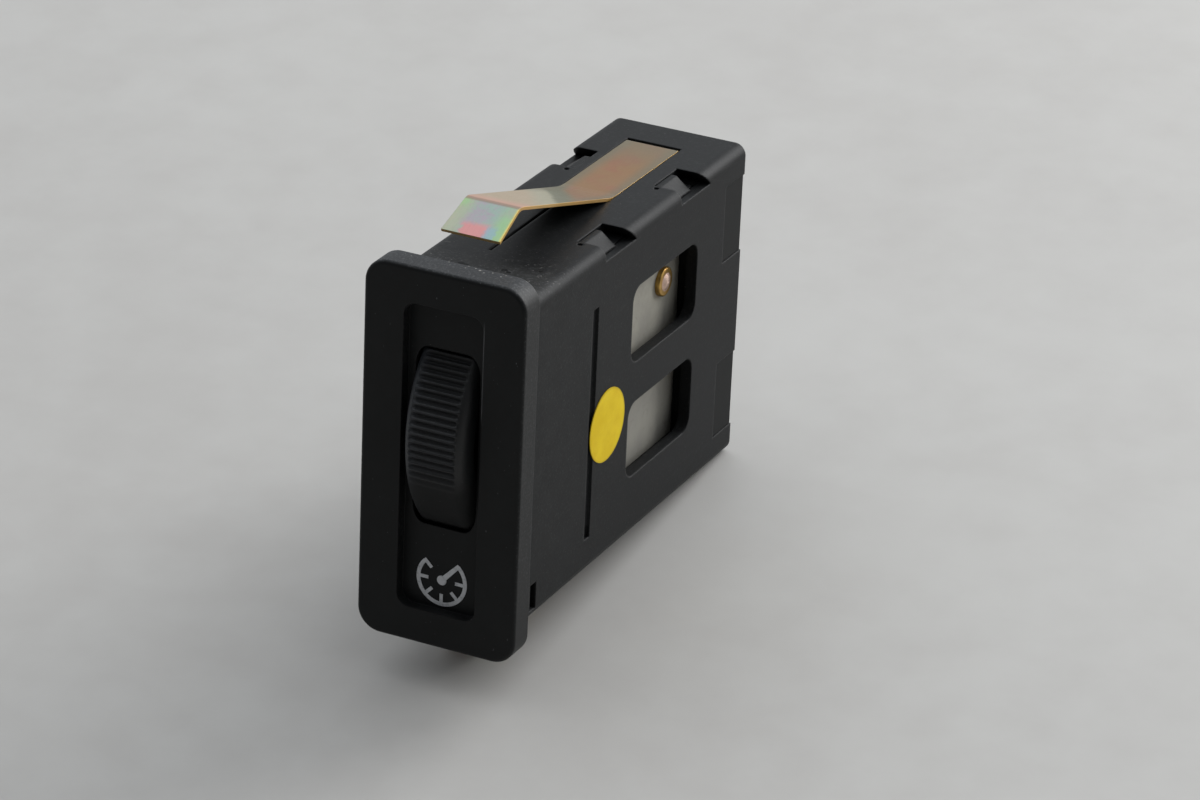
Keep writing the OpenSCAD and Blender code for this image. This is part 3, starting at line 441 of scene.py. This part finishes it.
def makeSpringStrip():
    # yellow passivation: its film colours lie in soft patches along the strip and across it
    look = springSheen
    paint = Paint(look)
    wander = paint.noise(2.4, warp=0.7) - 0.5
    drift = paint.noise(5.5, at=paint.stretched(y=0.8), warp=0.5) - 0.5
    fine = paint.noise(0.7, at=paint.stretched(x=3.0, y=0.6))
    flecked = paint.noise(0.42) - 0.5
    across = paint.x - look["middle"]
    patchX = across + wander * 0.9 + flecked * 0.9
    patchY = paint.y + drift * 3.0
    tipY = paint.y + wander * 0.8 + flecked * 0.6
    slanted = paint.y + look["slant"] * across + drift * 3.0 + flecked * 0.8
    tip = 1 - paint.y.ramp(look["crestY"] - 0.7, look["crestY"] - 0.1)
    # the free tip: grey-cyan and lilac, sage on the left, green on the right, pink low in the middle
    face = paint.mix((wander + 0.6 * flecked).ramp(-0.16, 0.16), "cyan", "lilac")
    face = paint.mix((1 - patchX.ramp(*look["sageX"])) * 0.75, face, "sage")
    green = patchX.ramp(*look["greenX"]) * (1 - 0.5 * tipY.ramp(*look["greenY"]))
    face = paint.mix(green * 0.85, face, "green")
    corner = (1 - patchX.ramp(*look["cornerX"])) * tipY.ramp(*look["cornerY"])
    face = paint.mix(corner * 0.8, face, "green")
    pink = (1 - tipY.ramp(*look["pinkY"])) * patchX.band(*look["pinkX"], 0.6)
    face = paint.mix(pink * 0.95, face, "pink")
    blue = (1 - tipY.ramp(*look["blueY"])) * patchX.band(*look["blueX"], 0.5)
    face = paint.mix(blue * 0.7, face, "blue")
    side = abs(across) - 0.05 * (look["crestY"] - paint.y).most(0.0)
    face = paint.mix(side.ramp(*look["sideX"]) * across.ramp(*look["goldX"]), face, "gold")
    # the ramp and the flat tail: rose, cream, mist, a slanting olive band, tan, blushes, pale sides
    back = paint.mix(patchY.ramp(*look["creamY"]), "rose", "cream")
    back = paint.mix(slanted.ramp(*look["mistY"]) * 0.7, back, "mist")
    back = paint.mix(slanted.ramp(*look["oliveY"]), back, "olive")
    back = paint.mix(slanted.ramp(*look["tanY"]), back, "tan")
    blush = paint.noise(3.6, 2, warp=0.3).ramp(0.46, 0.7) * slanted.ramp(*look["blushY"])
    back = paint.mix(blush * 0.6, back, "blush")
    sides = (abs(across) + 0.5 * drift).ramp(*look["paleX"]) * paint.y.ramp(*look["paleY"])
    back = paint.mix(sides * 0.75, back, "pale")
    back = paint.mix(patchY.ramp(*look["rearY"]) * 0.65, back, "pale")
    # both together, with the crest, the burrs along the sides and the bright cut end
    end = (-paint.facing[1]).ramp(0.6, 0.85)
    rim = (1 - abs(paint.facing[2]).ramp(0.12, 0.3)).most(end)
    base = paint.mix(tip, back, face)
    base = paint.mix(paint.y.band(*look["crestBand"], 0.3) * 0.6, base, "crest")
    base = paint.mix(rim * 0.85, base, "burr")
    base = paint.mix(end * 0.9, base, "cut")
    base = paint.mix(fine.ramp(0.5, 0.8) * 0.12, base, "scuff")
    metal = look["metal"] - 0.75 * end - 0.3 * rim * (1 - end)
    rough = look["rough"] + 0.16 * fine + 0.12 * (drift + 0.5)
    return paint.finished(fine, color=base, metal=metal, rough=rough)


ceramic = {
    "name": "fired_ceramic", "paler": "a6a296", "darker": "96938a", "low": "87857f",
    "stain": "6f6a5e", "rough": 0.68, "deep": 0.02,
    "lowZ": (-1.5, 1.5),  # the plate is greyer below this
}


def makeCeramic():
    paint = Paint(ceramic)
    cloud = paint.noise(3.0, 5)
    stain = paint.noise(1.6, 4, warp=1.0).ramp(0.58, 0.8)
    low = 1 - paint.z.ramp(*ceramic["lowZ"])
    base = paint.mix(cloud.ramp(0.25, 0.75), "paler", "darker")
    base = paint.mix(low * 0.45, base, "low")
    base = paint.mix(stain * 0.35, base, "stain")
    return paint.finished(paint.noise(0.18), color=base, rough=ceramic["rough"] + 0.2 * cloud)


metals = {
    "brass_parts": {"name": "rolled_brass", "color": "c8a35c", "darker": "a9824a",
                    "stain": "8a6a3a", "rough": 0.28, "cloud": 1.2},
    "solder": {"name": "dull_solder", "color": "dcc0b0", "darker": "c0a596",
               "stain": "9c8c80", "rough": 0.38, "cloud": 0.6},
    "steel_parts": {"name": "bright_steel", "color": "b9bbbd", "darker": "9b9da0",
                    "stain": "7c7e80", "rough": 0.26, "cloud": 1.2},
    "bronze_strip": {"name": "phosphor_bronze", "color": "c58f5c", "darker": "a8754a",
                     "stain": "80583a", "rough": 0.3, "cloud": 1.2},
    "silver_contact": {"name": "contact_silver", "color": "d3cfc2", "darker": "b5b1a4",
                       "stain": "8e8a80", "rough": 0.3, "cloud": 1.2},
    "tinned_blade": {"name": "tinned_brass", "color": "b9b8b2", "darker": "9d9c96",
                     "stain": "85837c", "rough": 0.32, "cloud": 1.2},
}


def makeMetal(look):
    # soft clouds of two tones, with fine lines drawn out along X
    paint = Paint(look | {"metal": 1.0, "deep": 0.003})
    cloud = paint.noise(look["cloud"], 4, warp=0.4)
    drawn = paint.noise(0.25, 2, at=paint.stretched(x=0.2))
    base = paint.mix(cloud.ramp(0.3, 0.75), "color", "darker")
    base = paint.mix(drawn.ramp(0.6, 0.85) * 0.4, base, "stain")
    return paint.finished(drawn, color=base, rough=look["rough"] + 0.2 * cloud)


inks = {
    "resistor_ink": {"name": "resistor_film", "color": "3b3631", "darker": "2c2825",
                     "rough": 0.6, "metal": 0.0},
    "conductor_ink": {"name": "silver_film", "color": "b3b3af", "darker": "9c9c98",
                      "rough": 0.4, "metal": 0.7},
}


def makeInk(look):
    # a film printed through a screen, whose mesh shows as fine grain
    paint = Paint(look | {"deep": 0.01})
    screen = paint.noise(0.2)
    base = paint.mix(screen.ramp(0.3, 0.7), "color", "darker")
    return paint.finished(screen, color=base, rough=look["rough"] + 0.2 * screen)


clears = {
    "lamp_glass": {"name": "lamp_glass_clear", "color": "eef2f2", "rough": 0.03},
    "guide_clear": {"name": "clear_guide", "color": "e3eae8", "rough": 0.08},
}


def makeClear(look):
    paint = Paint(look | {"haze": "c8d2d0", "clear": 1.0, "bending": 1.49, "deep": 0.003})
    haze = paint.noise(1.5)
    base = paint.mix(haze.ramp(0.4, 0.8), "color", "haze")
    return paint.finished(paint.noise(0.8, 2), color=base, rough=look["rough"] + 0.1 * haze)


symbolPrint = {
    "name": "white_print", "paler": "d0d1d4", "darker": "a9abae",
    "rough": 0.5, "deep": 0.004,
}


def makeSymbolPrint():
    paint = Paint(symbolPrint)
    worn = paint.noise(0.5, 4)
    base = paint.mix(worn.ramp(0.45, 0.8), "paler", "darker")
    return paint.finished(paint.noise(0.12, 2), color=base, rough=symbolPrint["rough"] + 0.15 * worn)


stickerLow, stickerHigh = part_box("inspection_dot")
sticker = {
    "name": "yellow_vinyl", "paler": "eacb14", "darker": "e1bf10", "rim": "ae9018",
    "fleck": "77701f", "rough": 0.36, "shine": 0.12, "deep": 0.01,
    "middleY": (stickerLow[1] + stickerHigh[1]) / 2 / mm,
    "middleZ": (stickerLow[2] + stickerHigh[2]) / 2 / mm,
    "rimRadius": (4.3, 4.7),  # the rim darkens from here to the edge
}


def makeSticker():
    paint = Paint(sticker)
    cloud = paint.noise(2.5, 4)
    fleck = paint.specks(0.9, 0.10, 0.3)
    y, z = paint.y - sticker["middleY"], paint.z - sticker["middleZ"]
    rim = (y * y + z * z).power(0.5).ramp(*sticker["rimRadius"])
    base = paint.mix(cloud.ramp(0.3, 0.7), "paler", "darker")
    base = paint.mix(rim * 0.45, base, "rim")
    base = paint.mix(fleck * 0.5, base, "fleck")
    return paint.finished(paint.noise(0.5), color=base, rough=sticker["rough"] + 0.2 * cloud)


palePlastic = {
    "name": "pale_heatproof_plastic", "paler": "dedbcf", "darker": "c9c3b0",
    "rough": 0.45, "deep": 0.008,
}


def makePalePlastic():
    paint = Paint(palePlastic)
    cloud = paint.noise(2.0, 4)
    base = paint.mix(cloud.ramp(0.35, 0.75), "paler", "darker")
    return paint.finished(paint.noise(0.2, 2), color=base, rough=palePlastic["rough"] + 0.15 * cloud)


paints = {
    "face_plastic": makeFacePlastic(), "wheel_plastic": makeWheelPlastic(),
    "sleeve_plastic": makeSleevePlastic(), "inner_plastic": makeInnerPlastic(),
    "spring_strip": makeSpringStrip(), "ceramic": makeCeramic(),
    "holder_plastic": makePalePlastic(), "dot_vinyl": makeSticker(),
}
for maker, looks in ((makeMetal, metals), (makeInk, inks), (makeClear, clears)):
    paints.update({slot: maker(look) for slot, look in looks.items()})
slotOf = {part["node"]: part["material_slot"] for part in frame["record"]["subparts"]}
for name, piece in nodes.items():
    piece.data.materials.clear()
    piece.data.materials.append(paints[slotOf[name]])
print("materials made:", len(bpy.data.materials))


# Meshes: a shape is its points in millimetres and a list of arrays of faces, one array for each kind
def makePiece(name, shape, paint, body, smooth=True):
    points, groups = shape
    mesh = bpy.data.meshes.new(name)
    mesh.from_pydata((points * mm).tolist(), [], [face for group in groups for face in group.tolist()])
    mesh.validate()
    mesh.update()
    mesh.materials.append(paint)
    if smooth:
        mesh.shade_smooth()
    else:
        mesh.shade_flat()
    piece = bpy.data.objects.new(name, mesh)
    bpy.context.scene.collection.objects.link(piece)
    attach(piece, body)
    return piece


def joinAll(shapes):
    # one shape of several: their points in a row, and their faces counted on from the points before
    counts = [len(points) for points, groups in shapes]
    starts = np.cumsum([0] + counts[:-1])
    groups = [group + start for start, (points, groups) in zip(starts, shapes) for group in groups]
    return np.vstack([points for points, groups in shapes]), groups


def unitArc(fromAngle, toAngle, count, closed=False):
    # the points (cos a, sin a) for angles a in degrees; closed leaves out the last, which is the first
    turn = np.radians(np.linspace(fromAngle, toAngle, count, endpoint=not closed))
    return np.column_stack([np.cos(turn), np.sin(turn)])


def prism(outline, front, back):
    # a closed outline in X and Z, anticlockwise from the front, carried along Y: point i of ring j is
    # (x of i, y of j, z of i). One cap in front, one behind and one wall a side
    count = len(outline)
    rings = [np.column_stack([outline[:, 0], np.full(count, y), outline[:, 1]]) for y in (front, back)]
    at = np.arange(count)
    after = (at + 1) % count
    walls = np.column_stack([at, at + count, after + count, after])
    return np.vstack(rings), [at[None, :], at[None, ::-1] + count, walls]


def gridFaces(rows, columns):
    # four-sided faces of a grid of points that closes on itself both ways
    i, j = [index.ravel() for index in np.meshgrid(np.arange(rows), np.arange(columns), indexing="ij")]
    nextI, nextJ = (i + 1) % rows, (j + 1) % columns
    corners = (i, j), (i, nextJ), (nextI, nextJ), (nextI, j)
    return np.column_stack([row * columns + column for row, column in corners])


def smoothStep(share):
    # 0 to 1 with level ends: 3 s^2 - 2 s^3, where s is the share held between 0 and 1
    held = np.clip(share, 0, 1)
    return held * held * (3 - 2 * held)


def wheelProfile():
    # closed outline in x and radius, and how far a rib's valley may cut each point, from 0 to 1.
    # A shoulder is a superellipse. As t goes from 0 to a quarter turn, x falls from the side by
    # shoulderWide (1 - cos(t)^(2 / fullness)), and the radius stays below the rim by
    # shoulderDeep (1 - sin(t)^(2 / fullness)). The inside runs past the rim, the web and the hub
    t = np.linspace(0, math.pi / 2, wheel["shoulderSteps"])
    power = 2 / wheel["fullness"]
    half, radius = wheel["half"], wheel["radius"]
    x = half - wheel["shoulderWide"] * (1 - np.cos(t) ** power)
    r = radius - wheel["shoulderDeep"] * (1 - np.sin(t) ** power)
    right = np.column_stack([x, r])
    left = right[::-1] * [-1, 1]
    flatX = np.linspace(x[-1], -x[-1], wheel["crownSteps"])[1:-1]
    flat = np.column_stack([flatX, np.full(len(flatX), radius)])
    inner = radius - wheel["rimThick"]
    inside = np.array([(half, inner), (wheel["webHalf"], inner), (wheel["webHalf"], wheel["hub"]),
                       (wheel["hubHalf"], wheel["hub"]), (wheel["hubHalf"], wheel["bore"])])
    outline = np.vstack([right, flat, left, inside * [-1, 1], inside[::-1]])
    onRim = outline[:, 1] > inner
    return outline, smoothStep((wheel["ribHalf"] - np.abs(outline[:, 0])) / wheel["ribRunOut"] * onRim)


def wheelShape():
    # the profile turned about the axis, with its radius cut down in the ribs' valleys:
    # radius - ribDeep * cut * fade(angle) * (1 + cos(2 pi (angle - valleyAt) / ribPitch)) / 2
    outline, cut = wheelProfile()
    ribFrom, ribTo, pitch = wheel["ribFrom"], wheel["ribTo"], wheel["ribPitch"]
    ribbedPart = np.arange(ribFrom, ribTo, pitch / wheel["stepsPerRib"])
    plainPart = np.arange(ribTo, 360 + ribFrom, wheel["plainStep"])
    angle = np.concatenate([ribbedPart, plainPart])
    fade = smoothStep((angle - ribFrom) / (wheel["ribFull"] - ribFrom)) * (angle < ribTo)
    valley = 0.5 + 0.5 * np.cos(2 * math.pi * (angle - wheel["valleyAt"]) / pitch)
    radius = outline[:, 1][:, None] - wheel["ribDeep"] * cut[:, None] * (fade * valley)[None, :]
    x = np.broadcast_to(outline[:, 0][:, None], radius.shape)
    y = wheel["axisY"] - radius * np.cos(np.radians(angle))
    z = wheel["axisZ"] + radius * np.sin(np.radians(angle))
    return np.stack([x, y, z], axis=-1).reshape(-1, 3), [gridFaces(*radius.shape)]


def stopLug():
    # a block between two radii behind the axis, lugTurn degrees up and down: a prism turned to lie
    # along X, which swaps its first two coordinates and so the sense of its faces
    ring = unitArc(-wheel["lugTurn"], wheel["lugTurn"], wheel["lugSteps"])
    outline = np.vstack([ring * wheel["lugOut"], ring[::-1] * wheel["lugIn"]])
    outline = outline + [wheel["axisY"], wheel["axisZ"]]
    points, groups = prism(outline, -wheel["lugHalf"], wheel["lugHalf"])
    return points[:, [1, 0, 2]], [group[:, ::-1] for group in groups]


fingerWheel = makePiece("finger_wheel", joinAll([wheelShape(), stopLug()]), paints["wheel_plastic"],
                        "wheel_group")
fingerWheel.data.set_sharp_from_angle(angle=math.radians(wheel["creaseOver"]))
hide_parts("thumb_wheel")
print("finger wheel made:", len(fingerWheel.data.polygons), "faces")


# Dial symbol: a gauge with an open top, six marks and a needle, printed on the recess floor
symbol = {
    "centreZ": -15.75, "floorY": -2.1,  # its place on the recess floor
    "thick": 0.03, "sink": 0.01,  # print above the floor, and how deep it starts in it
    "layer": 0.0005,  # each part stands this much over the part before, so no two faces are level
    "radius": 3.1, "stroke": 0.5, "openFrom": 47.0, "openTo": 137.0, "hub": 0.62,
    "arcSteps": 90, "hubSteps": 40,
    # marks run from a short lap under the arc in to the radius markIn
    "marks": (180, 225, 270, 315, 360), "markHalf": 0.22, "markIn": 1.78, "lap": 0.03,
    # the mark at the arc's end and the needle start tipIn short of the arc's outside
    "endMark": 135, "endMarkIn": 1.93, "tipIn": 0.05,
    "needleIn": 0.4, "needleHalf": 0.33, "tipHalf": 0.25,
}


def bar(angle, far, farHalf, near, nearHalf):
    # a straight bar along a radius: far and near along it, with half its width at either end
    along = unitArc(angle, angle, 1)[0]
    side = np.array([-along[1], along[0]])
    return np.array([along * far - side * farHalf, along * far + side * farHalf,
                     along * near + side * nearHalf, along * near - side * nearHalf])


def gaugeSymbol():
    # outlines in X and Z about the symbol's centre, each made a thin prism: the arc between two radii,
    # a bar for each mark and the needle, and the round hub
    inner, outer = symbol["radius"] - symbol["stroke"] / 2, symbol["radius"] + symbol["stroke"] / 2
    tip = outer - symbol["tipIn"]
    half = symbol["markHalf"]
    sweep = unitArc(symbol["openTo"], 360 + symbol["openFrom"], symbol["arcSteps"])
    arc = np.vstack([sweep * outer, sweep[::-1] * inner])
    endMark = bar(symbol["endMark"], tip, half, symbol["endMarkIn"], half)
    markOut = inner + symbol["lap"]
    marks = [bar(angle, markOut, half, symbol["markIn"], half) for angle in symbol["marks"]]
    needle = bar(symbol["openFrom"], tip, symbol["tipHalf"], symbol["needleIn"], symbol["needleHalf"])
    hub = unitArc(0, 360, symbol["hubSteps"], closed=True) * symbol["hub"]
    front, back = symbol["floorY"] - symbol["thick"], symbol["floorY"] + symbol["sink"]
    return joinAll([prism(outline + [0, symbol["centreZ"]], front - symbol["layer"] * i, back)
                    for i, outline in enumerate([arc, endMark, *marks, needle, hub])])


makePiece("dial_symbol", gaugeSymbol(), makeSymbolPrint(), "switch_body", smooth=False)
print("dial symbol made")

# Camera, from the photograph's viewing angle. Unturned it looks along +Y; heading turns it to the left,
# pitch tips it up, and roll turns it anticlockwise about its own view, all in degrees
camera = {"focal": 146.806, "sensor": 36.0, "place": (236.355, -462.491, 241.841),
          "heading": 25.2138, "pitch": -24.2840, "roll": 2.5461, "near": 10.0, "far": 20000.0}


def makeCamera():
    lens = bpy.data.cameras.new("camera")
    lens.lens = camera["focal"]
    lens.sensor_width = camera["sensor"]
    lens.clip_start = camera["near"] * mm
    lens.clip_end = camera["far"] * mm
    eye = bpy.data.objects.new("camera", lens)
    place = Matrix.Translation(Vector(camera["place"]) * mm)
    for degrees, axis in ((camera["heading"], "Z"), (90 + camera["pitch"], "X"), (camera["roll"], "Z")):
        place = place @ Matrix.Rotation(math.radians(degrees), 4, axis)
    eye.matrix_world = place
    bpy.context.scene.collection.objects.link(eye)
    bpy.context.scene.camera = eye


# Floor: it passes under the bottom spring's crest and the sleeve's rear edge
housingLow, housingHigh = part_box("housing")
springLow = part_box("leaf_spring_bottom")[0]
bench = {
    "name": "pale_bench", "color": "cbc9c5", "darker": "c2bfbb", "rough": 0.5, "deep": 0.02,
    "crestY": springSheen["crestY"], "crestZ": springLow[2] / mm - 0.01,  # just clear of the crest
    "rearY": housingHigh[1] / mm, "rearZ": housingLow[2] / mm,
    "half": 4000.0,  # half its width
}


def makeFloor():
    # a square that slopes along Y: z = crestZ + (y - crestY) * slope
    slope = (bench["rearZ"] - bench["crestZ"]) / (bench["rearY"] - bench["crestY"])
    corners = np.array([[-1, -1], [1, -1], [1, 1], [-1, 1]]) * bench["half"]
    points = np.column_stack([corners, bench["crestZ"] + (corners[:, 1] - bench["crestY"]) * slope])
    mesh = bpy.data.meshes.new("floor")
    mesh.from_pydata((points * mm).tolist(), [], [[0, 1, 2, 3]])
    paint = Paint(bench)
    wide = paint.noise(90.0, 4, warp=0.5)
    fine = paint.noise(9.0, 5)
    base = paint.mix((wide * 0.6 + fine * 0.4).ramp(0.3, 0.75), "color", "darker")
    mesh.materials.append(paint.finished(fine, color=base, rough=bench["rough"] + 0.2 * fine))
    floor = bpy.data.objects.new("floor", mesh)
    bpy.context.scene.collection.objects.link(floor)


# Light: a soft overcast sky, brighter above and behind, and one wide panel behind and to the right
light = {
    "sky": "e2e6ea", "dim": 0.06, "bright": 1.12,
    "towards": (-0.12, 0.62, 0.77), "from": -0.28, "to": 0.86,  # where it brightens, in cosines
    "panelAt": (0, 25, 0), "panelFrom": (0.41, 0.83, 0.45), "panelAway": 900.0,
    "panelSize": 620.0, "panelWatts": 7.0,
}


def makeSky():
    # strength rises smoothly with the cosine between a direction and the bright part of the sky
    world = bpy.data.worlds.new("sky")
    bpy.context.scene.world = world
    world.use_nodes = True
    sky = Graph(world.node_tree)
    back = world.node_tree.nodes["Background"]
    directions = {0: sky.add("ShaderNodeTexCoord", {}, {}).out("Generated"),
                  1: tuple(Vector(light["towards"]).normalized())}
    cosine = sky.add("ShaderNodeVectorMath", {"operation": "DOT_PRODUCT"}, directions).value("Value")
    sky.feed(back.inputs[0], fromHex(light["sky"]))
    sky.feed(back.inputs[1], cosine.ramp(light["from"], light["to"]) * light["bright"] + light["dim"])


def makePanel():
    panel = bpy.data.lights.new("window_light", "AREA")
    panel.shape = "SQUARE"
    panel.size = light["panelSize"] * mm
    panel.energy = light["panelWatts"]
    lamp = bpy.data.objects.new("window_light", panel)
    away = Vector(light["panelFrom"]).normalized()
    lamp.location = (Vector(light["panelAt"]) + away * light["panelAway"]) * mm
    lamp.rotation_euler = away.to_track_quat("Z", "Y").to_euler()
    bpy.context.scene.collection.objects.link(lamp)


makeCamera()
makeFloor()
makeSky()
makePanel()
bpy.context.scene.view_settings.view_transform = "Standard"
print("camera, floor and light set")
